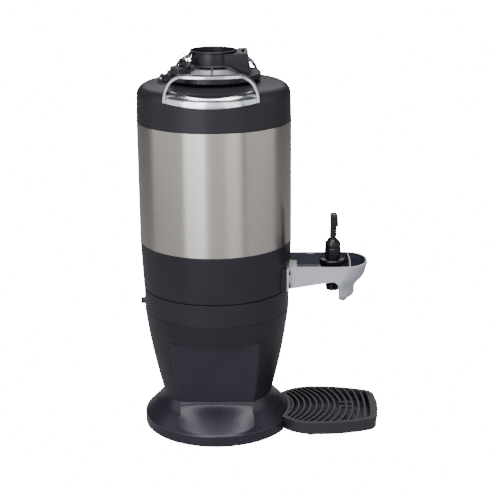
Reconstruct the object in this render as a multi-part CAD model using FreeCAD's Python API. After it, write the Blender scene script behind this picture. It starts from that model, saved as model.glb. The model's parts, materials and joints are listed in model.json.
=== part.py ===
import FreeCAD
import Part
import math
import os

from FreeCAD import Vector

# Gravity coffee server on a pedestal stand, in millimetres.
# The origin is on the vessel's axis at the plane the stand rests on, +Z is up,
# and the faucet and the drip tray face -Y.  The handles are on -X (left) and +X (right).

# ---- driving dimensions ----------------------------------------------------
BODY_R = 116.0            # steel shell, foot and the black rings flush with it
WALL = 3.5                # moulded black walls

FOOT_Z = 1.5              # underside of the foot, above its rubber pads
RIM_Z = 18.8              # top of the foot's upright rim
NECK_Z = 54.0             # where the flare of the foot meets the pedestal
NECK_R = 85.2
PEDESTAL_MID = (102.8, 131.0)
BAND_R = 112.0            # upright band at the top of the pedestal
BAND_Z0 = 192.0
BAND_Z1 = 227.2

SKIRT_Z0 = 228.8          # lower edge of the server
SKIRT_R0 = 112.6
SHELL_Z0 = 301.3          # visible steel shell
SHELL_Z1 = 486.3
COLLAR_R = 115.0          # collar wall where its rounded shoulder starts
SHOULDER_R = 16.6
SHOULDER_Z = 524.5
CROWN_SLOPE = math.radians(5.6)
MOUTH_R = 60.0            # opening through the collar

LID_R = 71.0
LID_Z0 = 545.2
LID_Z1 = 557.0
FUNNEL_R = 33.5
FUNNEL_Z = 590.0

FOOT_PADS_AT = (45, 135, 225, 315)   # angles round the foot from the front
FOOT_PAD_AT = 105.0
BASE_SCREWS_AT = (60, 120, 180, 240, 300)
BASE_SCREW_AT = 97.0
PEDESTAL_BOLTS_AT = (40, 140, 220, 320)

FLAT_Z0 = NECK_Z          # flats on the two sides of the pedestal
FLAT_Z1 = 158.8
FLAT_X0 = 64.6            # distance of the flat from the axis at its foot
FLAT_SLOPE = 0.2038       # and how fast it leans out
PANEL_T = 2.6
SCOOP_HALF = 58.0         # half width of the hollow that runs the foot's flare up to the flat
SCOOP_SECTIONS = (        # height, and the hollow's distance from the axis at its middle and its edges
    (NECK_Z + 4, 65.0, 64.8), (NECK_Z, 64.7, 64.4), (44.0, 75.0, 71.6),
    (34.0, 91.0, 81.6), (26.0, 104.4, 91.6), (21.0, 113.0, 98.6),
)

TRAY_BACK = 110.6         # radius of the drip tray's curved back, about the vessel's axis
TRAY_NOSE = 254.0
TRAY_HALF = 72.5
TRAY_Z0 = 2.0
TRAY_Z1 = 17.3            # seam between the tray and its grille
GRILLE_Z = 22.5
GRILLE_FIRST = 109.5      # distance of the first bar's middle in front of the axis
GRILLE_PITCH = 9.55
GRILLE_BARS = 15
PULL_FIRST = 9            # first of the two bars that the finger pull replaces
TRAY_PADS_AT = ((-64, -146), (64, -146), (-46, -222), (46, -222))

FAUCET_Y = -180.0         # upright axis of the faucet
SHANK_Z = 248.0
SHANK_R = 9.0
GUARD_HALF = 40.0
GUARD_RIM_Z = 264.5
FLANGE_Y = -108.5         # back face of the guard's flange
GUARD_T = 2.0
GUARD_SECTIONS = (        # height, and the nose's distance in front of the axis
    (GUARD_RIM_Z, 232.0), (257.0, 231.4), (250.0, 229.6), (242.0, 225.6),
    (234.0, 218.2), (225.0, 213.2), (212.0, 210.6), (198.0, 209.4),
)
GUARD_SCREWS_AT = ((-46, 237.0), (-46, 256.5), (46, 237.0), (46, 256.5))
LEVER_Z = 293.0           # height of the lever's pin

PLATE_T = 1.3             # crescent plates under the handles
PLATE_HORN = (-84.5, 57.0)
PLATE_END = (-94.0, 68.6)
HANDLE_TOP = 567.5
LINER_R = 102.0           # vessel: inner wall, welded from a base, a tube and a neck
LINER_SEAMS = (274.0, 494.0)
HINGE_Y = 77.5
HINGE_Z = 549.5
CROWN_R = 55.0            # foot and top of the black cover round the funnel
CROWN_Z = 571.0
STOPPER_AT = Vector(-29.0, 47.5, 0)
STOPPER_R = 14.6
EYELET_R = 37.5           # distance of the tether's eye from the funnel's axis
EYELET_Z = 586.6
RING_WIRE = 0.9
UPPER_RING_R = 7.64
LOWER_RING_R = 8.2
LOWER_RING_AT = (51.0, 579.4)
STOPPER_Z = LID_Z1 + 1.2
TAB_X = 51.0              # distance of the stopper's tab from the funnel's axis


# ---- helpers ---------------------------------------------------------------
def outline(points, place):
    """Closed face through points; a pair of points is an arc's middle and end."""
    edges = []
    here = points[0]
    for step in points[1:]:
        if isinstance(step[0], tuple):
            middle, end = step
            edges.append(Part.Arc(place(here), place(middle), place(end)).toShape())
        else:
            end = step
            if end != here:
                edges.append(Part.makeLine(place(here), place(end)))
        here = end
    if here != points[0]:
        edges.append(Part.makeLine(place(here), place(points[0])))
    return Part.Face(Part.Wire(edges))


def turned(points):
    """Solid of revolution about the vessel's axis from (radius, height) points."""
    face = outline(points, lambda p: Vector(p[0], 0, p[1]))
    return face.revolve(Vector(0, 0, 0), Vector(0, 0, 1), 360)


def turned_at(points, centre, axis=Vector(0, 0, 1)):
    """The same about an axis through centre; heights run along that axis."""
    shape = turned(points)
    turn = FreeCAD.Rotation(Vector(0, 0, 1), axis)
    shape.Placement = FreeCAD.Placement(centre, turn)
    return shape


def plan(points, z0, z1):
    """Prism standing between two heights on a plan outline."""
    face = outline(points, lambda p: Vector(p[0], p[1], z0))
    return face.extrude(Vector(0, 0, z1 - z0))


def side(points, x0, x1):
    """Prism along X on an outline of (y, z) points."""
    face = outline(points, lambda p: Vector(x0, p[0], p[1]))
    return face.extrude(Vector(x1 - x0, 0, 0))


def front(points, y0, y1):
    """Prism along Y on an outline of (x, z) points."""
    face = outline(points, lambda p: Vector(p[0], y0, p[1]))
    return face.extrude(Vector(0, y1 - y0, 0))


def box(x0, x1, y0, y1, z0, z1):
    return Part.makeBox(x1 - x0, y1 - y0, z1 - z0, Vector(x0, y0, z0))


def rod(radius, start, end):
    axis = end.sub(start)
    return Part.makeCylinder(radius, axis.Length, start, axis)


def around(shape, angles):
    """Copies of shape turned about the vessel's axis, as one group."""
    copies = []
    for angle in angles:
        copy = shape.copy()
        copy.rotate(Vector(0, 0, 0), Vector(0, 0, 1), angle)
        copies.append(copy)
    return Part.makeCompound(copies)


def mirrored(shape):
    return shape.mirror(Vector(0, 0, 0), Vector(1, 0, 0))


def hexagon(across_flats, centre, axis, length):
    corner_r = across_flats / math.sqrt(3)
    corners = []
    for i in range(7):
        turn = math.radians(60 * i)
        corners.append(Vector(corner_r * math.cos(turn), corner_r * math.sin(turn), 0))
    prism = Part.Face(Part.makePolygon(corners)).extrude(Vector(0, 0, length))
    prism.Placement = FreeCAD.Placement(centre, FreeCAD.Rotation(Vector(0, 0, 1), axis))
    return prism


def pan_screw(centre, axis, head_r, head_h, shank_r, shank_l):
    """Domed screw: its head stands out along axis from centre, the shank goes back."""
    head = turned_at([(0, 0), (head_r, 0), ((head_r * 0.75, head_h * 0.8), (0, head_h))], centre, axis)
    drive = hexagon(head_r * 0.8, centre.add(axis * (head_h * 0.45)), axis, head_h)
    shank = rod(shank_r, centre.sub(axis * shank_l), centre)
    return head.fuse(shank).cut(drive)


# ---- stand -----------------------------------------------------------------
def tray_outline(grow=0.0):
    """Plan of the drip tray: a back curved to the foot, wide shoulders and a shallow nose."""
    back_r = TRAY_BACK - grow
    nose = -TRAY_NOSE - grow
    half = TRAY_HALF + grow
    heel = 47 + grow
    back = -math.sqrt(back_r ** 2 - heel ** 2)
    return [
        (-heel, back),
        ((-half + 4.5, -128), (-half, -155)),
        ((-half + 4.4, -202), (-57 - grow, -238 - grow)),
        ((-49 - grow, -247.4 - grow), (-34, nose + 2.6)),
        ((0, nose), (34, nose + 2.6)),
        ((49 + grow, -247.4 - grow), (57 + grow, -238 - grow)),
        ((half - 4.4, -202), (half, -155)),
        ((half - 4.5, -128), (heel, back)),
        ((0, -back_r), (-heel, back)),
    ]


def foot_scoop(inset):
    """Hollow that runs the flare of the foot up to the straight foot of the left flat."""
    half = SCOOP_HALF + inset
    sections = []
    for height, centre, edge in SCOOP_SECTIONS:
        z = height - inset / 2
        middle = inset - centre
        end = inset - edge
        bow = Part.Arc(Vector(end, -half, z), Vector(middle, 0, z), Vector(end, half, z)).toShape()
        corners = [(end, half), (-150, half), (-150, -half), (end, -half)]
        rim = Part.makePolygon([Vector(x, y, z) for x, y in corners])
        sections.append(Part.Wire([bow] + rim.Edges))
    return Part.makeLoft(sections, True, False)


def saddle_groove():
    """Fine joint line in the flare round the back of the tray's bay."""
    skin = turned([
        (BODY_R + 2, RIM_Z + 1), (99, 38), ((91.0, 46), (86, 56)), (83.8, 54), ((89.1, 43.8), (97.0, 35.5)),
        (BODY_R - 2.6, RIM_Z - 0.2),
    ])
    arc = turned([(101, 10), (102, 10), (102, 60), (101, 60)])
    arc = arc.common(plan([(0, 0), (-75, -147), (75, -147)], 5, 70))
    arms = around(box(-0.5, 0.5, -120, -101, 10, 60), (-27, 27))
    return arc.fuse(arms).common(skin)


def make_foot():
    """Flared foot: a moulded shell, open below, with a bay for the tray and a hollow under each flat."""
    body = turned([
        (0, FOOT_Z), (BODY_R - 0.8, FOOT_Z), (BODY_R, FOOT_Z + 0.8), (BODY_R, RIM_Z - 1.2),
        ((BODY_R - 0.4, RIM_Z - 0.1), (BODY_R - 1.3, RIM_Z + 0.8)),
        (98.0, 36.6), ((90.4, 44.7), (NECK_R, NECK_Z)), (0, NECK_Z),
    ])
    cavity = turned([
        (0, 0), (92, 0), (92, FOOT_Z + 3), (BODY_R - WALL, FOOT_Z + 3), (BODY_R - WALL, 17.4),
        (94.6, 34.3), ((86.0, 42.8), (NECK_R - WALL - 1, NECK_Z - WALL)), (NECK_R - 21, NECK_Z - WALL),
        (NECK_R - 21, NECK_Z + 5), (0, NECK_Z + 5),
    ])
    backing = foot_scoop(WALL)
    cavity = cavity.cut(backing).cut(mirrored(backing))
    scoop = foot_scoop(0)
    bay = plan(tray_outline(0.8), -1, 40)
    shell = body.cut(cavity).cut(bay).cut(scoop).cut(mirrored(scoop)).cut(saddle_groove())
    shell = shell.cut(around(Part.makeCylinder(2.6, 10, Vector(0, -68, NECK_Z - 6)), PEDESTAL_BOLTS_AT))
    shell = shell.cut(around(Part.makeCylinder(3.1, 8, Vector(0, -FOOT_PAD_AT, 0)), FOOT_PADS_AT))
    shell = shell.cut(around(Part.makeCylinder(1.7, 8, Vector(0, -BASE_SCREW_AT, 0)), BASE_SCREWS_AT))
    return shell.removeSplitter()


def make_base_plate():
    plate = Part.makeCylinder(102, 2.0, Vector(0, 0, FOOT_Z + 3))
    return plate.cut(around(Part.makeCylinder(1.7, 8, Vector(0, -BASE_SCREW_AT, 0)), BASE_SCREWS_AT))


def make_foot_pads():
    """Rubber pads: four under the foot's rim and one under the middle of the base plate."""
    pad = turned_at([
        (0, 0), (7.2, 0), (8, 0.8), (8, FOOT_Z), (3, FOOT_Z), (3, FOOT_Z + 2.5), (0, FOOT_Z + 2.5),
    ], Vector(0, -FOOT_PAD_AT, 0))
    middle = turned([(0, 0), (11.2, 0), (12, 0.8), (12, FOOT_Z + 3), (0, FOOT_Z + 3)])
    return Part.makeCompound(around(pad, FOOT_PADS_AT).Solids + [middle])


def make_base_screws():
    down = Vector(0, 0, -1)
    screw = pan_screw(Vector(0, -BASE_SCREW_AT, FOOT_Z), down, 3.2, 1.2, 1.6, 6.0)
    return around(screw, BASE_SCREWS_AT)


def cone_solid(inset, z0, z1):
    """Bulging pedestal body, drawn in from its outer face by inset."""
    return turned([
        (0, z0), (NECK_R - inset, z0), (NECK_R - inset, NECK_Z),
        ((PEDESTAL_MID[0] - inset, PEDESTAL_MID[1]), (BAND_R - inset, BAND_Z0)),
        (BAND_R - inset, z1), (0, z1),
    ])


def flat_cutter(inset, top):
    """Everything outside the left-hand flat, up to the ledge above it."""
    x0 = -(FLAT_X0 - inset)
    lean = FLAT_SLOPE * (top - FLAT_Z0)
    return front([
        (x0 + FLAT_SLOPE * 6, FLAT_Z0 - 6), (x0 - lean, top), (-140, top + 8.5), (-140, FLAT_Z0 - 6),
    ], -100, 100)


def make_pedestal():
    body = cone_solid(0, NECK_Z, BAND_Z0)
    hollow = cone_solid(WALL, NECK_Z - 5, BAND_Z0 + 5)
    left = flat_cutter(PANEL_T, FLAT_Z1)
    left_in = flat_cutter(PANEL_T + WALL, FLAT_Z1 + WALL)
    for y0 in (-56, 44):
        notch = box(-101, -86, y0, y0 + 12, FLAT_Z1 - 1, FLAT_Z1 + 2.4)
        left = left.fuse(notch)
    body = body.cut(left).cut(mirrored(left))
    hollow = hollow.cut(left_in).cut(mirrored(left_in))
    shell = body.cut(hollow)
    floor = turned([
        (NECK_R - 21, NECK_Z), (NECK_R - 1.5, NECK_Z), (NECK_R - 1.5, NECK_Z + 3), (NECK_R - 21, NECK_Z + 3),
    ])
    floor = floor.cut(flat_cutter(PANEL_T, FLAT_Z1)).cut(mirrored(flat_cutter(PANEL_T, FLAT_Z1)))
    holes = around(Part.makeCylinder(2.6, 20, Vector(0, -68, NECK_Z - 5)), PEDESTAL_BOLTS_AT)
    return shell.fuse(floor).cut(holes).removeSplitter()


def make_side_panel():
    """Flat snap-in cover on the left flat."""
    slab = flat_cutter(PANEL_T - 0.05, FLAT_Z1 - 1.5).cut(flat_cutter(0, FLAT_Z1 + 30))
    return slab.common(cone_solid(0.15, NECK_Z + 0.4, BAND_Z0))


def make_pedestal_bolts():
    bolt = pan_screw(Vector(0, -68, NECK_Z - WALL), Vector(0, 0, -1), 4.5, 2.6, 2.4, 9.0)
    return around(bolt, PEDESTAL_BOLTS_AT)


def make_pedestal_band():
    """Band that takes the server's spigot, with the ledge that the server stands on."""
    ring = turned([
        (88, BAND_Z0 + 4), (BAND_R - WALL - 0.3, BAND_Z0 + 4), (BAND_R - WALL - 0.3, BAND_Z0 + 0.1),
        (BAND_R - 4.8, BAND_Z0 + 0.1), (BAND_R - 4.8, BAND_Z0 - 8), (BAND_R - 7.4, BAND_Z0 - 8),
        (BAND_R - 7.4, BAND_Z0 + 1), (88, BAND_Z0 + 1),
    ])
    wall = turned([
        (BAND_R - 4, BAND_Z0), (BAND_R - 0.6, BAND_Z0), (BAND_R, BAND_Z0 + 0.6), (BAND_R, BAND_Z1 - 0.6),
        (BAND_R - 0.6, BAND_Z1), (BAND_R - 4, BAND_Z1),
    ])
    bore = rod(4.3, Vector(0, 100, 199), Vector(0, 120, 199))
    return wall.fuse(ring).cut(bore).removeSplitter()


def make_lock_knob():
    """Quarter-turn lock on the back of the band: a round boss with a wing across it."""
    back = Vector(0, 1, 0)
    boss = turned_at([(0, 0), (5, 0), (5, 2.4), (4.2, 3.2), (0, 3.2)], Vector(0, BAND_R + 0.4, 199), back)
    wing = box(-1.4, 1.4, BAND_R + 3, BAND_R + 6.6, 194.2, 203.8)
    ends = [e for e in wing.Edges if abs(e.Length - 2.8) < 0.01 and e.CenterOfMass.y > BAND_R + 6]
    wing = wing.makeFillet(1.0, ends)
    return boss.fuse(wing).removeSplitter()


def make_lock_shaft():
    shaft = rod(4.2, Vector(0, BAND_R - 3.4, 199), Vector(0, BAND_R + 0.4, 199))
    cam = box(-2.5, 2.5, BAND_R - 6.9, BAND_R - 3.4, 197.4, 200.6)
    return shaft.fuse(cam).removeSplitter()


# ---- drip tray ---------------------------------------------------------------
def make_drip_tray():
    outer = plan(tray_outline(-1.4), TRAY_Z0, 14.5).fuse(plan(tray_outline(-0.5), 14.5, TRAY_Z1))
    well = plan(tray_outline(-4.0), TRAY_Z0 + 2.5, TRAY_Z1 + 2)
    return outer.cut(well).removeSplitter()


def make_tray_pads():
    pads = []
    for x, y in TRAY_PADS_AT:
        pads.append(turned_at([(0, 0), (5.4, 0), (6, 0.6), (6, TRAY_Z0), (0, TRAY_Z0)], Vector(x, y, 0)))
    return Part.makeCompound(pads)


def bar_bend(forward):
    """Curvature of a grille bar by how far forward its middle stands."""
    return max(0.0119 - 8.3e-7 * (forward - 128.0) ** 2, 0.002)


def grille_bar(forward, width, z0, z1, half_span):
    radius = 1.0 / bar_bend(forward)
    sag_mid = radius - math.sqrt(radius ** 2 - (half_span / 2) ** 2)
    sag_end = radius - math.sqrt(radius ** 2 - half_span ** 2)
    near = -forward + width / 2
    far = -forward - width / 2
    return plan([
        (-half_span, near + sag_end), ((0, near), (half_span, near + sag_end)),
        (half_span, far + sag_end), ((0, far), (-half_span, far + sag_end)),
    ], z0, z1)


def make_drip_grille():
    """Frame that caps the tray, with bowed bars and an H-shaped pull in place of two of them."""
    opening = plan(tray_outline(-5.0), 10, 30).common(box(-80, 80, 10 - TRAY_NOSE, -80, 10, 30))
    frame = plan(tray_outline(0), TRAY_Z1 + 0.35, GRILLE_Z).cut(opening)
    lip = plan(tray_outline(-4.6), TRAY_Z1 - 3.0, TRAY_Z1 + 1).cut(plan(tray_outline(-6.2), 10, 30))
    grille = frame.fuse(lip)
    field = plan(tray_outline(-4.0), 10, 30)
    pull_y0 = -(GRILLE_FIRST + GRILLE_PITCH * (PULL_FIRST + 2.0))
    pull_y1 = -(GRILLE_FIRST + GRILLE_PITCH * PULL_FIRST) + 1.6
    window = box(-8.5, 8.5, pull_y0 + 9.0, pull_y1 + 4.0, 10, 30)
    for i in range(GRILLE_BARS):
        forward = GRILLE_FIRST + GRILLE_PITCH * i
        bar = grille_bar(forward, 3.3, GRILLE_Z - 3.6, GRILLE_Z - 0.3, 74).common(field)
        if i in (PULL_FIRST, PULL_FIRST + 1):
            bar = bar.cut(window)
        grille = grille.fuse(bar)
    for x in (-8.5, 8.5):
        rail = box(x - 1.8, x + 1.8, pull_y0 - 1.6, pull_y1 + 1.6, GRILLE_Z - 3.6, GRILLE_Z)
        grille = grille.fuse(rail)
    middle = (pull_y0 + pull_y1) / 2
    rung = box(-8.5, 8.5, middle - 1.6, middle + 1.6, GRILLE_Z - 3.6, GRILLE_Z)
    return grille.fuse(rung).removeSplitter()


# ---- server body -------------------------------------------------------------
def make_server_bottom():
    """Cup under the server: its spigot stands in the pedestal band."""
    return turned([
        (0, 204), (BAND_R - 4.6, 204), (BAND_R - 4.6, SKIRT_Z0), (SKIRT_R0 - WALL - 0.4, SKIRT_Z0),
        (SKIRT_R0 - WALL - 0.4, SKIRT_Z0 + 5), (BAND_R - 8.6, SKIRT_Z0 + 5), (BAND_R - 8.6, 208), (0, 208),
    ]).cut(Part.makeCylinder(6, 10, Vector(0, 0, 200)))


def make_server_feet():
    pad = turned_at([(0, BAND_Z0 + 4.3), (7, BAND_Z0 + 4.3), (7, 204), (0, 204)], Vector(0, -96, 0))
    return around(pad, FOOT_PADS_AT)


def make_skirt():
    shell = turned([
        (SKIRT_R0 - WALL, SKIRT_Z0), (SKIRT_R0 - 0.5, SKIRT_Z0), (SKIRT_R0, SKIRT_Z0 + 0.5),
        (BODY_R, SHELL_Z0 - 1.0), (BODY_R - 0.3, SHELL_Z0 - 0.2), (BODY_R - 6.5, SHELL_Z0 - 0.2),
        (BODY_R - 6.5, SHELL_Z0 - 4), (BODY_R - WALL, SHELL_Z0 - 4),
    ])
    core = turned([(0, 0), (SKIRT_R0 - WALL, 0), (SKIRT_R0 - WALL, SKIRT_Z0), (BODY_R - WALL, SHELL_Z0 - 4),
                   (BODY_R - WALL, 320), (0, 320)])
    pad = box(-52, -31, FLANGE_Y, -80, SKIRT_Z0, GUARD_RIM_Z)
    pads = pad.fuse(mirrored(pad)).cut(core)
    hole = rod(SHANK_R + 0.3, Vector(0, -90, SHANK_Z), Vector(0, -130, SHANK_Z))
    shell = shell.fuse(pads).cut(hole)
    for x, z in GUARD_SCREWS_AT:
        shell = shell.cut(rod(1.9, Vector(x, FLANGE_Y - 1, z), Vector(x, FLANGE_Y + 9, z)))
    return shell.removeSplitter()


def make_steel_shell():
    """Brushed steel wrap with both ends turned in to the vessel."""
    return turned([
        (BODY_R - 7.4, SHELL_Z0), (BODY_R - 0.8, SHELL_Z0),
        ((BODY_R - 0.2, SHELL_Z0 + 0.2), (BODY_R, SHELL_Z0 + 0.8)),
        (BODY_R, SHELL_Z1 - 0.8), ((BODY_R - 0.2, SHELL_Z1 - 0.2), (BODY_R - 0.8, SHELL_Z1)),
        (BODY_R - 7.4, SHELL_Z1), (BODY_R - 7.4, SHELL_Z1 - 1), (BODY_R - 1, SHELL_Z1 - 1),
        (BODY_R - 1, SHELL_Z0 + 1), (BODY_R - 7.4, SHELL_Z0 + 1),
    ])


def make_vessel_jacket():
    """Outer wall of the vacuum vessel, from the drain round to the neck."""
    r = BODY_R - 7.6
    return turned([
        (10, 258), (r - 12, 258), ((r - 3.5, 261.5), (r, 270)), (r, 500), ((r - 4, 520), (76, 530)),
        (59, 533), (59, 540), (57.9, 540), (57.9, 532), (75.6, 528.9), ((r - 5, 519), (r - 1, 500)),
        (r - 1, 270), ((r - 4.2, 262.2), (r - 12, 259)), (10, 259),
    ])


def liner_between(z0, z1):
    """Part of the vessel's inner wall between two heights."""
    r = LINER_R
    wall = turned([
        (10, 262), (r - 12, 262), ((r - 3.5, 265.5), (r, 274)), (r, 494), ((r - 5, 513), (70, 523)),
        (55.5, 525), (55.5, 540), (54.4, 540), (54.4, 524), (69.6, 521.9), ((r - 6, 512), (r - 1, 494)),
        (r - 1, 274), ((r - 4.2, 266.2), (r - 12, 263)), (10, 263),
    ])
    return wall.common(Part.makeCylinder(r + 5, z1 - z0, Vector(0, 0, z0)))


def make_neck_ring():
    """Ring that closes the gap between the liner's and the jacket's necks."""
    return turned([
        (55.55, 534), (57.85, 534), (57.85, 540.05), (59.4, 540.05), (59.4, 541.2), (54.4, 541.2),
        (54.4, 540.05), (55.55, 540.05),
    ])


def make_outlet_pipe():
    """Drain from the bottom of the vessel, forward to the faucet's shank."""
    down = rod(8.6, Vector(0, 0, SHANK_Z - 9), Vector(0, 0, 263))
    along = rod(7.6, Vector(0, -4, SHANK_Z), Vector(0, -98, SHANK_Z))
    flange = rod(20, Vector(0, 0, 259.1), Vector(0, 0, 261))
    sump = rod(6.8, Vector(0, 0, SHANK_Z - 7), Vector(0, 0, 270))
    bore = rod(6.0, Vector(0, 0, SHANK_Z), Vector(0, -99, SHANK_Z))
    return down.fuse(along).fuse(flange).cut(sump).cut(bore).removeSplitter()


def crown_z(radius):
    """Height of the collar's top at a radius inside its rounded shoulder."""
    tangent_r = COLLAR_R - SHOULDER_R + SHOULDER_R * math.sin(CROWN_SLOPE)
    tangent_z = SHOULDER_Z + SHOULDER_R * math.cos(CROWN_SLOPE)
    return tangent_z + (tangent_r - radius) * math.tan(CROWN_SLOPE)


def shoulder_point(angle, grow=0.0):
    """Point on the collar's rounded shoulder; 0 is its foot and 90 its top."""
    turn = math.radians(angle)
    r = COLLAR_R - SHOULDER_R + (SHOULDER_R + grow) * math.cos(turn)
    return (r, SHOULDER_Z + (SHOULDER_R + grow) * math.sin(turn))


def make_collar():
    top_turn = 90 - math.degrees(CROWN_SLOPE)
    return turned([
        (BODY_R - WALL, SHELL_Z1 + 0.2), (BODY_R - 0.4, SHELL_Z1 + 0.2), (BODY_R, SHELL_Z1 + 0.8),
        (COLLAR_R, SHOULDER_Z), (shoulder_point(45), shoulder_point(top_turn)),
        (MOUTH_R + 5, crown_z(MOUTH_R + 5)),
        ((MOUTH_R + 1.6, crown_z(65) - 0.6), (MOUTH_R, crown_z(65) - 3.5)),
        (MOUTH_R, 534), (MOUTH_R + 3, 534), (MOUTH_R + 3, crown_z(65) - 5), (96, crown_z(96) - 3.6),
        ((107.6, 533.5), (COLLAR_R - WALL, SHOULDER_Z - 1)), (BODY_R - WALL, SHELL_Z1 + 4),
    ])


def below_the_sweep():
    """All that lies under the lower edge of the handle and its plate, which rises towards the ends."""
    middle = SHOULDER_Z - 2.2
    ends = middle + 9.3
    return side([(-90, 480), (-90, ends), ((0, middle), (90, ends)), (90, 480)], -140, -40)


def handle_plate_solid(clear, thick, grow):
    """Crescent that follows the shoulder between two offsets from it, its ends moved out by grow."""
    skin = turned([
        (COLLAR_R + clear, SHOULDER_Z - 2.2), (COLLAR_R + thick, SHOULDER_Z - 2.2),
        shoulder_point(0, thick), (shoulder_point(40, thick), shoulder_point(80, thick)),
        shoulder_point(80, clear), (shoulder_point(40, clear), shoulder_point(0, clear)),
    ])
    horn_x = PLATE_HORN[0] + grow
    horn_y = PLATE_HORN[1] + grow
    end_y = PLATE_END[1] + grow
    blank = plan([
        (horn_x, -horn_y), (horn_x, horn_y), (PLATE_END[0], end_y), (-130, end_y), (-130, -end_y),
        (PLATE_END[0], -end_y),
    ], 500, 560)
    hollow = Part.makeCylinder(72.8, 100, Vector(-39.2, 0, 480))
    return skin.common(blank).cut(hollow).cut(below_the_sweep())


def make_handle_plate():
    """Crescent of polished metal on the shoulder under the left handle."""
    return handle_plate_solid(0.15, PLATE_T, 0).removeSplitter()


def arch_outline(inset):
    """Arch of the left handle seen from its side, as (y, z) points."""
    foot = 69.0 - inset
    top = HANDLE_TOP - inset
    left = [
        (-foot, 515), (-foot, 528), ((-68.0 + inset, 538.5), (-64.9 + inset, 547.5)),
        ((-57.9 + inset * 0.75, 559.2 - inset * 0.65), (-43.5, top)),
    ]
    right = [
        (43.5, top), ((57.9 - inset * 0.75, 559.2 - inset * 0.65), (64.9 - inset, 547.5)),
        ((68.0 - inset, 538.5), (foot, 528)), (foot, 515),
    ]
    return left + right


def make_handle():
    """Broad polished strap arched over the left side of the collar, its legs standing on the shoulder."""
    arch = side(arch_outline(0), -130, -60).cut(side(arch_outline(3.4), -140, -50))
    ring = turned([(96.5, 510), (117.6, 510), (117.6, 527), (114.6, 540), (114.6, 580), (96.5, 580)])
    above = turned([
        (90, crown_z(90) + 0.2), shoulder_point(84, 0.2), (shoulder_point(42, 0.2), shoulder_point(0, 0.2)),
        (COLLAR_R + 0.4, SHOULDER_Z - 2.2), (130, SHOULDER_Z - 2.2), (130, 600), (90, 600),
    ])
    plate_room = handle_plate_solid(0, PLATE_T + 0.15, 0.15)
    return arch.common(ring).common(above).cut(plate_room).cut(below_the_sweep()).removeSplitter()


def make_hinge_bracket():
    """Upright ears on the back of the collar that carry the lid's hinge pin."""
    base = box(-11, 11, HINGE_Y - 3.5, HINGE_Y + 5, crown_z(HINGE_Y) - 0.4, HINGE_Z - 3.4)
    ears = base
    for x0, x1 in ((-11, -6.3), (6.3, 11)):
        ear = box(x0, x1, HINGE_Y - 3.5, HINGE_Y + 3.5, crown_z(HINGE_Y) - 0.4, HINGE_Z)
        tip = rod(3.5, Vector(x0, HINGE_Y, HINGE_Z), Vector(x1, HINGE_Y, HINGE_Z))
        ears = ears.fuse(ear).fuse(tip)
    low = turned([
        (0, 500), (130, 500), (130, crown_z(130) + 0.05), (60, crown_z(60) + 0.05), (0, crown_z(60)),
    ])
    gap = box(-6.3, 6.3, HINGE_Y - 5, HINGE_Y + 4.2, HINGE_Z - 4.2, HINGE_Z + 6)
    bore = rod(1.55, Vector(-12, HINGE_Y, HINGE_Z), Vector(12, HINGE_Y, HINGE_Z))
    return ears.cut(low).cut(gap).cut(bore).removeSplitter()


def make_hinge_pin():
    return rod(1.5, Vector(-11.6, HINGE_Y, HINGE_Z), Vector(11.6, HINGE_Y, HINGE_Z))


# ---- faucet and guard -----------------------------------------------------------
def make_faucet_shank():
    tube = rod(SHANK_R, Vector(0, -98.2, SHANK_Z), Vector(0, FAUCET_Y + 12.65, SHANK_Z))
    return tube.cut(rod(6.0, Vector(0, -98, SHANK_Z), Vector(0, FAUCET_Y, SHANK_Z)))


def make_shank_washer():
    """Seal between the skirt and the nut, its back shaped to the skirt."""
    ring = rod(15.5, Vector(0, -110, SHANK_Z), Vector(0, -116.0, SHANK_Z))
    wall = turned([(0, SKIRT_Z0), (SKIRT_R0 + 0.05, SKIRT_Z0), (BODY_R + 0.05, SHELL_Z0), (0, SHELL_Z0)])
    return ring.cut(rod(SHANK_R + 0.1, Vector(0, -100, SHANK_Z), Vector(0, -120, SHANK_Z))).cut(wall)


def make_shank_nut():
    ahead = Vector(0, -1, 0)
    nut = hexagon(27, Vector(0, -116.1, SHANK_Z), ahead, 9)
    nut = nut.common(turned_at([(0, 0), (14, 0), (15.6, 1.6), (15.6, 7.4), (14, 9), (0, 9)],
                                Vector(0, -116.1, SHANK_Z), ahead))
    return nut.cut(rod(SHANK_R + 0.05, Vector(0, -110, SHANK_Z), Vector(0, -130, SHANK_Z)))


def make_faucet_body():
    """Upright faucet body with a broad bevelled flange level with the guard's rim."""
    at = Vector(0, FAUCET_Y, 0)
    body = turned_at([
        (0, 228), (10.2, 228), (12.4, 231), (12.4, 261), (19.2, 261), ((20.4, 261.8), (20.6, 263)),
        (20.6, 265.4), ((19.8, 266.9), (18.4, 267.4)), (14.6, 268.4), (0, 268.4),
    ], at)
    socket = rod(11.8, Vector(0, FAUCET_Y + 22, SHANK_Z), Vector(0, FAUCET_Y + 2, SHANK_Z))
    body = body.fuse(socket)
    inside = turned_at([(0, 238.5), (6.0, 238.5), (6.0, 240.5), (9.2, 243.5), (9.2, 270), (0, 270)], at)
    throat = rod(4.4, Vector(0, FAUCET_Y, 220), Vector(0, FAUCET_Y, 240))
    inlet = rod(SHANK_R + 0.02, Vector(0, FAUCET_Y + 12.6, SHANK_Z), Vector(0, FAUCET_Y + 30, SHANK_Z))
    way = rod(3.6, Vector(0, FAUCET_Y, SHANK_Z), Vector(0, FAUCET_Y + 20, SHANK_Z))
    return body.cut(inside).cut(throat).cut(inlet).cut(way).removeSplitter()


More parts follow.
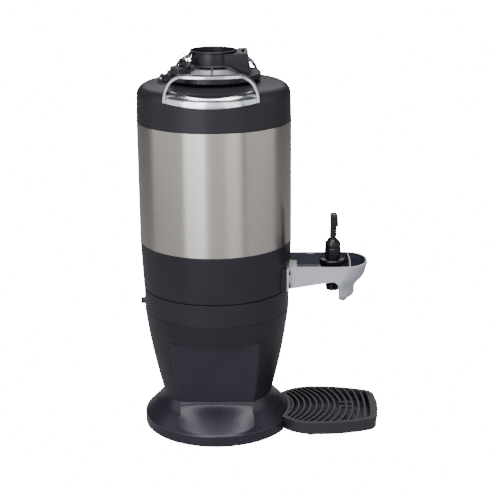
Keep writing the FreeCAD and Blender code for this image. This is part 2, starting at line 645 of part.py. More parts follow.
def make_faucet_outlet():
    """Hexagonal spout nut and nozzle screwed under the faucet body."""
    at = Vector(0, FAUCET_Y, 0)
    nozzle = turned_at([
        (4.2, 216.5), (9.0, 216.5), (10.2, 218.2), (10.6, 225), (9.4, 227.9), (4.2, 227.9),
    ], at)
    grip = hexagon(19.6, Vector(0, FAUCET_Y, 219), Vector(0, 0, 1), 7)
    grip = grip.cut(rod(4.2, Vector(0, FAUCET_Y, 210), Vector(0, FAUCET_Y, 230)))
    return nozzle.fuse(grip).removeSplitter()


def make_faucet_bonnet():
    """Ribbed cap over the valve, with a slot in its crown for the lever."""
    at = Vector(0, FAUCET_Y, 0)
    cap = turned_at([
        (0, 268.5), (12.0, 268.5), (12.4, 269.5), (12.4, 283.4), (11.8, 284.0), (11.8, 286.6), (12.4, 287.2),
        (12.4, 290.6), ((11.9, 292.2), (10.8, 293.4)), (6.8, 298.6), (0, 298.6),
    ], at)
    hollow = turned_at([(0, 260), (9.4, 260), (9.4, 284), (4.2, 288), (0, 288)], at)
    slot = box(-3.6, 3.6, FAUCET_Y - 14, FAUCET_Y + 14, 286.8, 310)
    grooves = []
    for i in range(20):
        turn = math.radians(18 * i + 9)
        centre = Vector(12.9 * math.sin(turn), FAUCET_Y + 12.9 * math.cos(turn), 270.5)
        grooves.append(Part.makeCylinder(0.9, 11.5, centre))
    bore = rod(1.55, Vector(-16, FAUCET_Y, LEVER_Z), Vector(16, FAUCET_Y, LEVER_Z))
    stem_way = rod(3.6, Vector(0, FAUCET_Y, 284), Vector(0, FAUCET_Y, 300))
    cap = cap.cut(hollow).cut(slot).cut(bore).cut(stem_way)
    return cap.cut(Part.makeCompound(grooves)).removeSplitter()


def make_lever_pin():
    return rod(1.5, Vector(-11.0, FAUCET_Y, LEVER_Z), Vector(11.0, FAUCET_Y, LEVER_Z))


def make_faucet_lever():
    """Lever with a flat stalk, a rounded head and a finger hook on its front."""
    stalk = side([
        (FAUCET_Y + 4.6, 300.5), (FAUCET_Y + 3.9, 318), (FAUCET_Y + 4.4, 333.5),
        ((FAUCET_Y + 2.6, 338.2), (FAUCET_Y - 1.2, 339.6)),
        ((FAUCET_Y - 5.4, 337.9), (FAUCET_Y - 7.2, 333.5)),
        (FAUCET_Y - 7.8, 322.0), ((FAUCET_Y - 7.3, 319.2), (FAUCET_Y - 5.6, 319.4)), (FAUCET_Y - 5.2, 312),
        (FAUCET_Y - 5.2, 304), (FAUCET_Y, 300.5),
    ], -6.5, 6.5)
    stalk = stalk.common(front([
        (-5.4, 300), (-6.0, 318), (-6.4, 332), ((-4.6, 337.6), (0, 339.7)), ((4.6, 337.6), (6.4, 332)),
        (6.0, 318), (5.4, 300),
    ], FAUCET_Y - 20, FAUCET_Y + 20))
    root = side([
        (FAUCET_Y + 4.6, 302), (FAUCET_Y + 3.0, LEVER_Z),
        ((FAUCET_Y, LEVER_Z - 3.0), (FAUCET_Y - 3.0, LEVER_Z)),
        (FAUCET_Y - 5.2, 305),
    ], -3.3, 3.3)
    hub = rod(4.2, Vector(-3.3, FAUCET_Y, LEVER_Z), Vector(3.3, FAUCET_Y, LEVER_Z))
    bore = rod(1.55, Vector(-8, FAUCET_Y, LEVER_Z), Vector(8, FAUCET_Y, LEVER_Z))
    return stalk.fuse(root).fuse(hub).cut(bore).removeSplitter()


def make_faucet_stem():
    at = Vector(0, FAUCET_Y, 0)
    return turned_at([
        (0, 246.5), (2.4, 246.5), (2.4, 262), (5.8, 262), (5.8, 264), (2.4, 264), (2.4, 283.6),
        (3.1, 284.6), (3.1, 286.5), (0, 286.5),
    ], at)


def make_seat_cup():
    at = Vector(0, FAUCET_Y, 0)
    return turned_at([(0, 238.9), (5.0, 238.9), (5.6, 240.3), (5.6, 246.4), (0, 246.4)], at)


def make_stem_spring():
    """Return spring round the stem, as a sleeve of its outer size."""
    at = Vector(0, FAUCET_Y, 0)
    return turned_at([(3.3, 264.1), (6.6, 264.1), (6.6, 283.4), (3.3, 283.4)], at)


def guard_solid(inset):
    """Bucket shape of the guard, drawn in by inset: straight sides and a nose that recedes downwards."""
    half = GUARD_HALF - inset
    back = FLANGE_Y - 3.0
    wires = []
    for z, nose in GUARD_SECTIONS:
        tip = -nose + inset
        turn = tip + 34
        left = Part.Arc(Vector(-half, turn, z), Vector(-half * 0.76, tip + 10.5, z), Vector(0, tip, z))
        right = Part.Arc(Vector(0, tip, z), Vector(half * 0.76, tip + 10.5, z), Vector(half, turn, z))
        corners = [(half, turn), (half, back), (-half, back), (-half, turn)]
        rear = Part.makePolygon([Vector(x, y, z) for x, y in corners])
        wires.append(Part.Wire([left.toShape(), right.toShape()] + rear.Edges))
    return Part.makeLoft(wires, True, False)


def make_faucet_guard():
    """Open trough of cast metal round the faucet, its nose drawn down into a tongue before the spout."""
    back = FLANGE_Y - 3.0
    inside = GUARD_HALF - GUARD_T
    inner = guard_solid(GUARD_T).fuse(box(-inside, inside, -150, FLANGE_Y, 190, 270))
    walls = guard_solid(0).cut(inner)
    lip = guard_solid(-0.7).cut(guard_solid(GUARD_T))
    walls = walls.fuse(lip.common(box(-60, 60, -240, back, GUARD_RIM_Z - 2.4, 270)))
    below = side([
        (FLANGE_Y + 4, 190), (FLANGE_Y + 4, 229.6), (back, 229.6), (-165, 238.2), (-178, 240.0),
        ((-184.5, 237.6), (-187.0, 231.0)), (-187.6, 213.5), ((-199.6, 205.8), (-211.9, 213.5)),
        (-240, 213.5), (-240, 190),
    ], -60, 60)
    flange = box(-52, -inside, back, FLANGE_Y, SKIRT_Z0 + 0.3, GUARD_RIM_Z)
    flange = flange.cut(box(-GUARD_HALF, 0, -130, -100, 190, 229.6))
    rib = plan([
        (-40, -203.6), ((0, -205.4), (40, -203.6)), (40, -205.4), ((0, -207.2), (-40, -205.4)),
    ], 238, GUARD_RIM_Z - 0.6)
    tab = box(-GUARD_HALF + 1, -GUARD_HALF + 4.6, -153, -141, 259.6, 263.2)
    guard = walls.cut(below).fuse(flange).fuse(mirrored(flange)).fuse(rib.common(guard_solid(0.8)))
    guard = guard.fuse(tab).fuse(mirrored(tab))
    for x, z in GUARD_SCREWS_AT:
        guard = guard.cut(rod(2.2, Vector(x, FLANGE_Y + 1, z), Vector(x, FLANGE_Y - 4, z)))
    return guard.removeSplitter()


def make_guard_screws():
    ahead = Vector(0, -1, 0)
    screws = []
    for x, z in GUARD_SCREWS_AT:
        screws.append(pan_screw(Vector(x, FLANGE_Y - 3.0, z), ahead, 3.3, 2.6, 1.85, 9.0))
    return Part.makeCompound(screws)


# ---- lid ----------------------------------------------------------------------
def make_lid():
    """Round lid with a plug that enters the mouth and shallow grips round its top."""
    disc = turned([
        (0, LID_Z0 - 12), (50, LID_Z0 - 12), (53, LID_Z0), (65.5, LID_Z0), (LID_R, LID_Z0 + 4.2),
        (LID_R, LID_Z1 - 1.6), ((LID_R - 0.5, LID_Z1 - 0.5), (LID_R - 1.6, LID_Z1)),
        (LID_R - 3.6, LID_Z1), (LID_R - 4.2, LID_Z1 - 0.8),
        (LID_R - 12, LID_Z1 - 0.8), (LID_R - 12.8, LID_Z1), (0, LID_Z1),
    ])
    drain = Part.makeCylinder(12.4, 60, Vector(0, 0, 520))
    knuckle = rod(3.5, Vector(-6, HINGE_Y, HINGE_Z), Vector(6, HINGE_Y, HINGE_Z))
    arm = box(-6, 6, LID_R - 5, HINGE_Y, HINGE_Z - 3.0, HINGE_Z + 3.5)
    arm = arm.common(turned([(LID_R - 6, 540), (HINGE_Y + 3, 540), (HINGE_Y + 3, 560), (LID_R - 6, 560)]))
    lid = disc.cut(drain).cut(box(-12, 12, LID_R - 2.2, 80, 540, 560)).fuse(arm).fuse(knuckle)
    return lid.cut(rod(1.56, Vector(-12, HINGE_Y, HINGE_Z), Vector(12, HINGE_Y, HINGE_Z))).removeSplitter()


def make_lid_grips():
    """Low blocks in the groove round the lid's top, cast as a separate ring."""
    ring = turned([
        (LID_R - 11.6, LID_Z1 - 0.75), (LID_R - 4.6, LID_Z1 - 0.75), (LID_R - 4.8, LID_Z1 + 0.9),
        (LID_R - 11.4, LID_Z1 + 0.9),
    ])
    gaps = []
    for i in range(16):
        gap = box(-2.2, 2.2, -80, -40, LID_Z1 - 0.1, LID_Z1 + 3)
        gap.rotate(Vector(0, 0, 0), Vector(0, 0, 1), 22.5 * i + 11.25)
        gaps.append(gap)
    gaps.append(box(-31, 31, -80, -10, 550, 560))
    return ring.cut(Part.makeCompound(gaps)).cut(stopper_berth(550, 570)).removeSplitter()


def make_lid_gasket():
    return turned([
        (53.6, LID_Z0 - 2.6), (56.0, LID_Z0 - 2.2), (57.6, LID_Z0 - 1.0), (58.0, LID_Z0 - 0.05),
        (53.1, LID_Z0 - 0.05),
    ])


def stopper_berth(z0, z1):
    """Room that the stopper's knob needs where it stands on the lid."""
    return Part.makeCylinder(STOPPER_R + 0.8, z1 - z0, STOPPER_AT.add(Vector(0, 0, z0)))


def make_lid_plate():
    """Polished steel cone round the foot of the funnel."""
    cone = turned([
        (FUNNEL_R - 6, LID_Z1 + 0.05), (CROWN_R - 1.2, LID_Z1 + 0.05), (CROWN_R - 1.0, LID_Z1 + 0.8),
        (FUNNEL_R + 2.4, CROWN_Z - 3.4), (FUNNEL_R - 6, CROWN_Z - 3.4),
    ]).cut(Part.makeCylinder(12.4, 40, Vector(0, 0, 550)))
    return cone.cut(stopper_berth(550, 590))


def make_lid_crown():
    """Black cover over the steel cone, with a wide window at each side and a tab across it."""
    skirt = turned([
        (CROWN_R - 0.8, LID_Z1 + 0.05), (CROWN_R + 1.4, LID_Z1 + 0.05), (CROWN_R + 1.4, LID_Z1 + 1.8),
        (FUNNEL_R + 4.2, CROWN_Z), (FUNNEL_R + 0.2, CROWN_Z), (FUNNEL_R + 0.2, CROWN_Z - 3.3),
        (FUNNEL_R + 2.5, CROWN_Z - 3.3), (CROWN_R - 0.8, LID_Z1 + 1.0),
    ])
    window = plan([
        (-31.4, -20.5), (-31.4, 20.5), (-37, 41), (-90, 50), (-90, -50), (-37, -41),
    ], LID_Z1 + 0.9, CROWN_Z - 1.6)
    ring = turned([(FUNNEL_R + 2.6, 540), (90, 540), (90, 580), (FUNNEL_R + 2.6, 580)])
    window = window.common(ring).cut(box(-70, 70, -1.3, 1.3, 550, 580))
    return skirt.cut(window).cut(mirrored(window)).cut(stopper_berth(550, 590)).removeSplitter()


def make_funnel():
    """Brew-through funnel: an upright cup with a drain down through the lid."""
    return turned([
        (FUNNEL_R, CROWN_Z - 3.2), (FUNNEL_R, FUNNEL_Z - 3.0), (FUNNEL_R + 1.0, FUNNEL_Z - 2.2),
        (FUNNEL_R + 1.0, FUNNEL_Z - 0.8),
        ((FUNNEL_R + 0.4, FUNNEL_Z), (FUNNEL_R - 0.6, FUNNEL_Z)),
        (FUNNEL_R - 1.6, FUNNEL_Z), (FUNNEL_R - 2.2, FUNNEL_Z - 1.0),
        (FUNNEL_R - 3.0, 575.0), (10.2, 567.5), (10.2, 530.0), (12.2, 530.0), (12.2, CROWN_Z - 3.2),
    ])


def make_gauge_housing():
    """Level gauge block in front of the funnel, leaning out towards its foot."""
    block = side([
        (-14, LID_Z1 + 0.05), (-55.0, LID_Z1 + 0.05), (-50.6, 586.6), (-14, 586.6),
    ], -30, 30)
    upright = [e for e in block.Edges if e.BoundBox.ZLength > 20 and e.CenterOfMass.y < -40]
    block = block.makeFillet(3.0, upright)
    clear = turned([
        (0, LID_Z1 - 1), (CROWN_R + 1.6, LID_Z1 - 1), (CROWN_R + 1.6, LID_Z1 + 1.9),
        (FUNNEL_R + 4.3, CROWN_Z + 0.1),
        (FUNNEL_R + 1.15, CROWN_Z + 0.1), (FUNNEL_R + 1.15, 600), (0, 600),
    ])
    recess = side([(-52.6, 564), (-50.0, 582), (-60, 582), (-60, 564)], -21, 21)
    pocket = box(-24, 24, -48, -39, 573, 586.7)
    return block.cut(clear).cut(recess).cut(pocket).removeSplitter()


def make_gauge_cover():
    """Grey plate on top of the gauge, with a slot across it."""
    plate = box(-28.5, 28.5, -50.2, -36.8, 586.65, 588.2)
    slot = box(-16, 14, -46.6, -42.0, 580, 590)
    return plate.cut(slot).cut(Part.makeCylinder(FUNNEL_R + 1.3, 40, Vector(0, 0, 560)))


def make_gauge_board():
    return box(-22, 22, -46.5, -44.5, 573.2, 585)


def make_gauge_window():
    return side([(-52.65, 564.2), (-50.1, 581.8), (-51.1, 581.8), (-53.75, 564.2)], -20.8, 20.8)


def stopper_frame(shape):
    """Turn a shape laid out along +X to the stopper's direction from the funnel."""
    shape.rotate(Vector(0, 0, 0), Vector(0, 0, 1), math.degrees(math.atan2(STOPPER_AT.y, STOPPER_AT.x)))
    return shape


def make_tether_eyelet():
    """Lug on the side of the funnel that holds the stopper's rings."""
    lug = box(FUNNEL_R - 2, EYELET_R, -1.5, 1.5, EYELET_Z - 3.0, EYELET_Z + 3.0)
    lug = lug.fuse(rod(3.0, Vector(EYELET_R, -1.5, EYELET_Z), Vector(EYELET_R, 1.5, EYELET_Z)))
    lug = lug.cut(rod(1.8, Vector(EYELET_R, -5, EYELET_Z), Vector(EYELET_R, 5, EYELET_Z)))
    return stopper_frame(lug.cut(Part.makeCylinder(FUNNEL_R + 1.04, 60, Vector(0, 0, 555)))).removeSplitter()


# ---- stopper ----------------------------------------------------------------
def make_upper_ring():
    """Wire ring through the eye on the funnel."""
    drop = Vector(9.7, 0, -11.8).normalize()
    centre = Vector(EYELET_R, 0, EYELET_Z).add(drop * UPPER_RING_R)
    return stopper_frame(Part.makeTorus(UPPER_RING_R, RING_WIRE, centre, drop.cross(Vector(0, 1, 0))))


def make_lower_ring():
    """Wire ring that links the upper ring to the stopper's tab."""
    centre = Vector(LOWER_RING_AT[0], 0, LOWER_RING_AT[1])
    return stopper_frame(Part.makeTorus(LOWER_RING_R, RING_WIRE, centre, Vector(0, 1, 0)))


def make_stopper_knob():
    """Knurled knob of the stopper, standing on the lid, with a tab on top for its ring."""
    z0 = STOPPER_Z
    r = STOPPER_R
    knob = turned_at([
        (0, z0), (r - 1, z0), (r, z0 + 1), (r, z0 + 9.8), ((r - 0.4, z0 + 10.8), (r - 1.6, z0 + 11.2)),
        (0, z0 + 11.2),
    ], STOPPER_AT)
    grooves = []
    for i in range(24):
        turn = math.radians(15 * i)
        centre = STOPPER_AT.add(Vector((r + 0.4) * math.cos(turn), (r + 0.4) * math.sin(turn), z0 + 1.6))
        grooves.append(Part.makeCylinder(0.9, 8.0, centre))
    tab = side([
        (-8.0, z0 + 11), (8.0, z0 + 11), (7.2, z0 + 20), ((0, z0 + 22.6), (-7.2, z0 + 20)),
    ], TAB_X - 2.4, TAB_X + 2.4)
    tab = tab.cut(rod(1.7, Vector(TAB_X - 6, 0, 571.5), Vector(TAB_X + 6, 0, 571.5)))
    return knob.cut(Part.makeCompound(grooves)).fuse(stopper_frame(tab)).removeSplitter()


def make_stopper_seal():
    return turned_at([
        (0, LID_Z1 + 0.35), (10.6, LID_Z1 + 0.35), (11.2, STOPPER_Z - 0.05), (0, STOPPER_Z - 0.05),
    ], STOPPER_AT)


NODES = {
    "foot": make_foot,
    "base_plate": make_base_plate,
    "foot_pads": make_foot_pads,
    "base_screws": make_base_screws,
    "pedestal": make_pedestal,
    "side_panel_left": make_side_panel,
    "side_panel_right": lambda: mirrored(make_side_panel()),
    "pedestal_bolts": make_pedestal_bolts,
    "pedestal_band": make_pedestal_band,
    "lock_knob": make_lock_knob,
    "lock_shaft": make_lock_shaft,
    "drip_tray": make_drip_tray,
    "tray_pads": make_tray_pads,
    "drip_grille": make_drip_grille,
    "server_bottom": make_server_bottom,
    "server_feet": make_server_feet,
    "skirt": make_skirt,
    "steel_shell": make_steel_shell,
    "vessel_jacket": make_vessel_jacket,
    "liner_base": lambda: liner_between(260, LINER_SEAMS[0]),
    "vessel_liner": lambda: liner_between(*LINER_SEAMS),
    "liner_neck": lambda: liner_between(LINER_SEAMS[1], 545),
    "neck_ring": make_neck_ring,
    "outlet_pipe": make_outlet_pipe,
    "collar": make_collar,
    "handle_plate_left": make_handle_plate,
    "handle_plate_right": lambda: mirrored(make_handle_plate()),
    "handle_left": make_handle,
    "handle_right": lambda: mirrored(make_handle()),
    "hinge_bracket": make_hinge_bracket,
    "hinge_pin": make_hinge_pin,
    "faucet_shank": make_faucet_shank,
    "shank_washer": make_shank_washer,
    "shank_nut": make_shank_nut,
    "faucet_body": make_faucet_body,
    "faucet_outlet": make_faucet_outlet,
    "faucet_bonnet": make_faucet_bonnet,
    "lever_pin": make_lever_pin,
    "faucet_lever": make_faucet_lever,
    "faucet_stem": make_faucet_stem,
    "seat_cup": make_seat_cup,
    "stem_spring": make_stem_spring,
    "faucet_guard": make_faucet_guard,
    "guard_screws": make_guard_screws,
    "lid": make_lid,
    "lid_grips": make_lid_grips,
    "lid_gasket": make_lid_gasket,
    "lid_plate": make_lid_plate,
    "lid_crown": make_lid_crown,
    "funnel": make_funnel,
    "gauge_housing": make_gauge_housing,
    "gauge_cover": make_gauge_cover,
    "gauge_board": make_gauge_board,
    "gauge_window": make_gauge_window,
    "tether_eyelet": make_tether_eyelet,
    "upper_ring": make_upper_ring,
    "lower_ring": make_lower_ring,
    "stopper_knob": make_stopper_knob,
    "stopper_seal": make_stopper_seal,
}

os.makedirs("parts", exist_ok=True)
for name, make in NODES.items():
    shape = make()
    bounds = shape.BoundBox
    print(name, "valid" if shape.isValid() else "NOT VALID", len(shape.Solids), "solids",
          "volume", round(shape.Volume), "z", round(bounds.ZMin, 1), round(bounds.ZMax, 1))
    shape.exportStep("parts/" + name + ".step")
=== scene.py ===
import json
import math

import bpy
from mathutils import Matrix, Vector


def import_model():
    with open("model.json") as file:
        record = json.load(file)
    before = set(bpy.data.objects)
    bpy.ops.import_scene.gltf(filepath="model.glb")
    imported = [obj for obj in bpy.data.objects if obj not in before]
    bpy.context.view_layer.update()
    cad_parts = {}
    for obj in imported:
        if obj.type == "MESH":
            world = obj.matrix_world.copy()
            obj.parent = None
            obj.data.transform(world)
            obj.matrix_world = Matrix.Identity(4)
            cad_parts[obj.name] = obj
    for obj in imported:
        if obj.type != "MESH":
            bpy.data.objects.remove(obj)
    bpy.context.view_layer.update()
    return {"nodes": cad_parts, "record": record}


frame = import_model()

NODES = frame["nodes"]
SLOT_OF = {s["node"]: s["material_slot"] for s in frame["record"]["subparts"]}


# ---- driving values ---------------------------------------------------------------
EDGE = 0.0004                # radius that a material rounds sharp edges to, metres
PALE_PATCH = 1.18            # how much lighter the pale patches of a moulding are
DULL_PATCH = 0.94            # how much darker the dull patches of a metal are
GUARD_NOSE_Y = -0.198        # ahead of this the guard's wall turns round its nose

BACKDROP_SEEN = 20.0         # brightness of floor and background as the camera sees them
FLOOR_GLOW = 0.13            # and the light that they give the object
WORLD_GLOW = 0.05
FLOOR_HALF = 14.0
AIM_HEIGHT = 0.3             # the softboxes point at the object's axis here

CAMERA_AT = (-1.9215, -0.0815, 0.8630)
CAMERA_TURN = math.radians(0.87)
CAMERA_PITCH = 0.29448       # below the horizon
CAMERA_ROLL = -0.00801
CAMERA_LENS = 93.6


# ---- materials ----------------------------------------------------------------
class Shader:
    """Small helper that wires one Principled material."""

    def __init__(self, name, color, rough, metal=0.0, aniso=0.0):
        self.mat = bpy.data.materials.new(name)
        self.mat.use_nodes = True
        self.tree = self.mat.node_tree
        self.bsdf = self.tree.nodes["Principled BSDF"]
        self.set("Base Color", (*color, 1.0))
        self.set("Roughness", rough)
        self.set("Metallic", metal)
        self.set("Anisotropic", aniso)
        self.coords = self.tree.nodes.new("ShaderNodeTexCoord")
        self.normal = None
        self.mat.diffuse_color = (*color, 1.0)

    def set(self, socket, value):
        self.bsdf.inputs[socket].default_value = value

    def link(self, a, b):
        self.tree.links.new(a, b)

    def mapped(self, scale):
        node = self.tree.nodes.new("ShaderNodeMapping")
        node.inputs["Scale"].default_value = scale
        self.link(self.coords.outputs["Object"], node.inputs["Vector"])
        return node.outputs["Vector"]

    def noise(self, scale, stretch=(1, 1, 1), detail=4.0, rough=0.55, distortion=0.0):
        node = self.tree.nodes.new("ShaderNodeTexNoise")
        node.inputs["Scale"].default_value = scale
        node.inputs["Detail"].default_value = detail
        node.inputs["Roughness"].default_value = rough
        node.inputs["Distortion"].default_value = distortion
        self.link(self.mapped(stretch), node.inputs["Vector"])
        return node.outputs["Fac"]

    def ramp(self, fac, low, high, to_low, to_high):
        node = self.tree.nodes.new("ShaderNodeMapRange")
        node.inputs["From Min"].default_value = low
        node.inputs["From Max"].default_value = high
        node.inputs["To Min"].default_value = to_low
        node.inputs["To Max"].default_value = to_high
        self.link(fac, node.inputs["Value"])
        return node.outputs["Result"]

    def vary_rough(self, fac, low, high):
        self.link(self.ramp(fac, 0.3, 0.7, low, high), self.bsdf.inputs["Roughness"])
        return self

    def split(self, coords):
        node = self.tree.nodes.new("ShaderNodeSeparateXYZ")
        self.link(self.coords.outputs[coords], node.inputs["Vector"])
        return node.outputs

    def math(self, operation, first, second):
        node = self.tree.nodes.new("ShaderNodeMath")
        node.operation = operation
        for socket, value in zip(node.inputs, (first, second)):
            if isinstance(value, float):
                socket.default_value = value
            else:
                self.link(value, socket)
        return node.outputs["Value"]

    def mix_color(self, fac, dark, light):
        node = self.tree.nodes.new("ShaderNodeMix")
        node.data_type = "RGBA"
        node.inputs[6].default_value = (*dark, 1.0)
        node.inputs[7].default_value = (*light, 1.0)
        self.link(fac, node.inputs[0])
        self.link(node.outputs[2], self.bsdf.inputs["Base Color"])
        return self

    def vary_color(self, fac, dark, light):
        return self.mix_color(self.ramp(fac, 0.3, 0.7, 0.0, 1.0), dark, light)

    def bevel(self, radius):
        node = self.tree.nodes.new("ShaderNodeBevel")
        node.samples = 4
        node.inputs["Radius"].default_value = radius
        self.link(node.outputs["Normal"], self.bsdf.inputs["Normal"])
        self.normal = node.outputs["Normal"]
        return self

    def bump(self, height, strength, distance):
        node = self.tree.nodes.new("ShaderNodeBump")
        node.inputs["Strength"].default_value = strength
        node.inputs["Distance"].default_value = distance
        self.link(height, node.inputs["Height"])
        if self.normal is not None:
            self.link(self.normal, node.inputs["Normal"])
        self.link(node.outputs["Normal"], self.bsdf.inputs["Normal"])
        self.normal = node.outputs["Normal"]
        return self

    def round_the_axis(self):
        node = self.tree.nodes.new("ShaderNodeTangent")
        node.direction_type = "RADIAL"
        node.axis = "Z"
        self.link(node.outputs["Tangent"], self.bsdf.inputs["Tangent"])
        return self


def plastic(name, color, rough, grain, shine=0.27):
    """Moulded plastic with a fine texture and slightly paler, duller patches."""
    s = Shader(name, color, rough)
    s.set("Specular IOR Level", shine)
    s.set("Specular Tint", (0.96, 0.88, 1.0, 1.0))
    s.bevel(EDGE)
    fine = s.noise(2200.0, detail=3.0)
    broad = s.noise(14.0, detail=5.0)
    s.bump(fine, 0.18, grain)
    s.vary_rough(broad, rough - 0.04, rough + 0.05)
    s.vary_color(broad, color, tuple(c * PALE_PATCH for c in color))
    return s.mat


def metal(name, color, rough, spread, grain=0.00002, scale=900.0):
    """Bare metal with a fine grain and patches of slightly different polish."""
    s = Shader(name, color, rough, metal=1.0)
    s.bevel(EDGE)
    fine = s.noise(scale, detail=4.0)
    broad = s.noise(20.0, detail=4.0)
    s.bump(fine, 0.2, grain)
    s.vary_rough(broad, rough, rough + spread)
    s.vary_color(broad, tuple(c * DULL_PATCH for c in color), color)
    return s.mat


def brushed_shell():
    """Sheet steel brushed round the vessel, so highlights spread into upright bands."""
    s = Shader("brushed_shell", (0.50, 0.485, 0.455), 0.30, metal=1.0, aniso=0.85)
    s.set("Anisotropic Rotation", 0.25)
    s.round_the_axis()
    lines = s.noise(60.0, stretch=(1.0, 1.0, 60.0), detail=6.0, rough=0.7)
    fine = s.noise(160.0, stretch=(1.0, 1.0, 40.0), detail=3.0, rough=0.6)
    broad = s.noise(7.0, stretch=(1.0, 1.0, 0.5), detail=4.0)
    s.bump(lines, 0.10, 0.00004)
    s.bump(fine, 0.08, 0.00003)
    s.vary_rough(lines, 0.26, 0.34)
    s.vary_color(broad, (0.475, 0.452, 0.415), (0.525, 0.500, 0.462))
    return s.mat


def guard_with_painted_inner_shade():
    """Satin outside; the faces that look in towards the faucet are painted darker, as painted shade for the
    dim inside of the trough.
    """
    s = Shader("satin_guard_painted_inner_shade", (0.60, 0.61, 0.645), 0.46, metal=1.0)
    s.bevel(EDGE)
    s.bump(s.noise(900.0), 0.2, 0.00005)
    s.vary_rough(s.noise(20.0), 0.46, 0.54)
    facing = s.split("Normal")
    place = s.split("Object")
    beyond = s.math("MINIMUM", s.math("ADD", place["Y"], -GUARD_NOSE_Y), 0.0)
    across = s.math("MULTIPLY", facing["X"], place["X"])
    along = s.math("MULTIPLY", facing["Y"], beyond)
    outward = s.math("ADD", across, along)
    # painted shade: faces that look inward are mixed to a dark blue-grey instead of the satin colour
    s.mix_color(s.ramp(outward, -0.010, -0.002, 0.0, 1.0), (0.12, 0.13, 0.165), (0.57, 0.59, 0.65))
    return s.mat


BLACK = (0.0150, 0.0136, 0.0182)
MATS = {
    "black_plastic": plastic("black_moulded", BLACK, 0.40, 0.00005),
    "panel_plastic": plastic("black_panel", (0.0225, 0.0207, 0.0288), 0.46, 0.00005),
    "dark_plastic": plastic("dark_moulded", (0.0068, 0.0064, 0.0082), 0.32, 0.00004, shine=0.4),
    "gloss_black": plastic("gloss_moulded", (0.0035, 0.0034, 0.0044), 0.20, 0.00002, shine=0.5),
    "grey_plastic": plastic("grey_moulded", (0.045, 0.045, 0.050), 0.42, 0.00004),
    "brushed_steel": brushed_shell(),
    "vessel_steel": metal("vessel_sheet", (0.45, 0.46, 0.49), 0.30, 0.08),
    "satin_metal": guard_with_painted_inner_shade(),
    "polished_metal": metal("polished_trim", (0.78, 0.80, 0.85), 0.16, 0.04, grain=0.000005, scale=300.0),
    "fastener_steel": metal("turned_steel", (0.55, 0.55, 0.56), 0.28, 0.08),
    "black_screws": metal("blackened_screw", (0.05, 0.05, 0.06), 0.34, 0.06),
    "rubber": plastic("black_rubber", (0.012, 0.012, 0.013), 0.7, 0.00006),
    "silicone": plastic("pale_silicone", (0.5, 0.5, 0.48), 0.5, 0.00004),
    "circuit": plastic("circuit_board", (0.008, 0.020, 0.012), 0.4, 0.00003),
    "smoked_window": plastic("smoked_window", (0.02, 0.02, 0.025), 0.08, 0.000004),
}
TRAY_LOOK = plastic("tray_moulded", (0.0190, 0.0176, 0.0222), 0.34, 0.00004, shine=0.6)
LOOK_OF = {
    "drip_tray": TRAY_LOOK,
    "drip_grille": TRAY_LOOK,
    "foot": plastic("foot_moulded", (0.0140, 0.0124, 0.0190), 0.30, 0.00004, shine=0.5),
}


def dress(obj, mat):
    obj.data.materials.clear()
    obj.data.materials.append(mat)


for node_name, obj in NODES.items():
    dress(obj, LOOK_OF.get(node_name, MATS[SLOT_OF[node_name]]))


# ---- stage ----------------------------------------------------------------------
def backdrop_strength(tree, lighting):
    """Strength of a plain white backdrop: plain white to the camera, and lighting to the object."""
    path = tree.nodes.new("ShaderNodeLightPath")
    node = tree.nodes.new("ShaderNodeMapRange")
    node.inputs["To Min"].default_value = lighting
    node.inputs["To Max"].default_value = BACKDROP_SEEN
    tree.links.new(path.outputs["Is Camera Ray"], node.inputs["Value"])
    return node.outputs["Result"]


def floor():
    mesh = bpy.data.meshes.new("floor")
    far = FLOOR_HALF
    corners = [(-far, -far, 0), (far, -far, 0), (far, far, 0), (-far, far, 0)]
    mesh.from_pydata(corners, [], [(0, 1, 2, 3)])
    obj = bpy.data.objects.new("floor", mesh)
    bpy.context.collection.objects.link(obj)
    s = Shader("pale_floor", (0.22, 0.22, 0.23), 0.6)
    s.set("Specular IOR Level", 0.1)
    s.set("Emission Color", (1.0, 1.0, 1.0, 1.0))
    s.link(backdrop_strength(s.tree, FLOOR_GLOW), s.bsdf.inputs["Emission Strength"])
    dress(obj, s.mat)


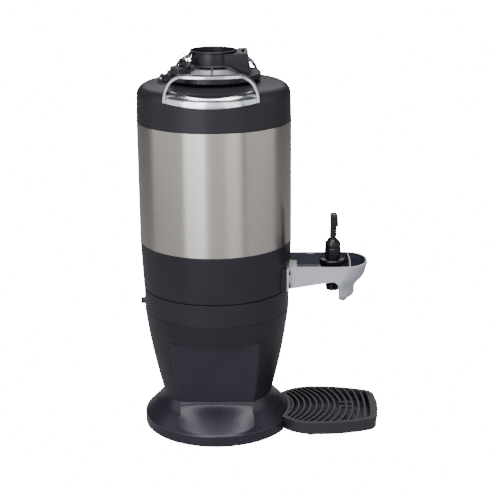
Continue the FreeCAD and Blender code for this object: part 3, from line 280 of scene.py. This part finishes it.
def softbox(name, azimuth, elevation, distance, width, height, power, color=(1.0, 1.0, 1.0)):
    """Area light aimed at the middle of the object; azimuth 0 is in front (-Y) and 90 on the right (+X)."""
    data = bpy.data.lights.new(name, "AREA")
    data.shape = "RECTANGLE"
    data.size = width
    data.size_y = height
    data.energy = power
    data.color = color
    obj = bpy.data.objects.new(name, data)
    a, e = math.radians(azimuth), math.radians(elevation)
    away = Vector((math.sin(a) * math.cos(e), -math.cos(a) * math.cos(e), math.sin(e)))
    centre = Vector((0.0, 0.0, AIM_HEIGHT))
    obj.location = centre + away * distance
    obj.rotation_mode = "QUATERNION"
    obj.rotation_quaternion = (-away).to_track_quat("-Z", "Y")
    bpy.context.collection.objects.link(obj)


def world():
    w = bpy.data.worlds.new("studio")
    w.use_nodes = True
    bpy.context.scene.world = w
    back = w.node_tree.nodes["Background"]
    back.inputs["Color"].default_value = (0.98, 0.98, 1.0, 1.0)
    w.node_tree.links.new(backdrop_strength(w.node_tree, WORLD_GLOW), back.inputs["Strength"])


def camera():
    data = bpy.data.cameras.new("camera")
    data.lens = CAMERA_LENS
    data.sensor_width = 36.0
    obj = bpy.data.objects.new("camera", data)
    ahead = math.cos(CAMERA_PITCH)
    forward = Vector((math.cos(CAMERA_TURN) * ahead, math.sin(CAMERA_TURN) * ahead, -math.sin(CAMERA_PITCH)))
    level = forward.cross(Vector((0, 0, 1))).normalized()
    upright = level.cross(forward)
    right = level * math.cos(CAMERA_ROLL) + upright * math.sin(CAMERA_ROLL)
    up = upright * math.cos(CAMERA_ROLL) - level * math.sin(CAMERA_ROLL)
    turned = Matrix((right, up, -forward)).transposed()
    obj.matrix_world = Matrix.Translation(CAMERA_AT) @ turned.to_4x4()
    bpy.context.collection.objects.link(obj)
    bpy.context.scene.camera = obj


floor()
world()
camera()
softbox("key_rear", 243, 14, 2.6, 1.5, 2.2, 52, (0.97, 0.98, 1.0))
softbox("key_front", 299, 14, 2.8, 1.15, 2.2, 19, (1.0, 0.99, 0.97))
softbox("fill", 268, 16, 3.2, 2.2, 2.4, 21)
softbox("side_rear", 196, 14, 2.6, 2.6, 2.4, 22)
softbox("side_front", 344, 14, 2.6, 2.6, 2.4, 22)
softbox("top", 270, 80, 2.4, 2.0, 2.0, 80)
softbox("back", 90, 38, 2.8, 2.4, 1.6, 17)
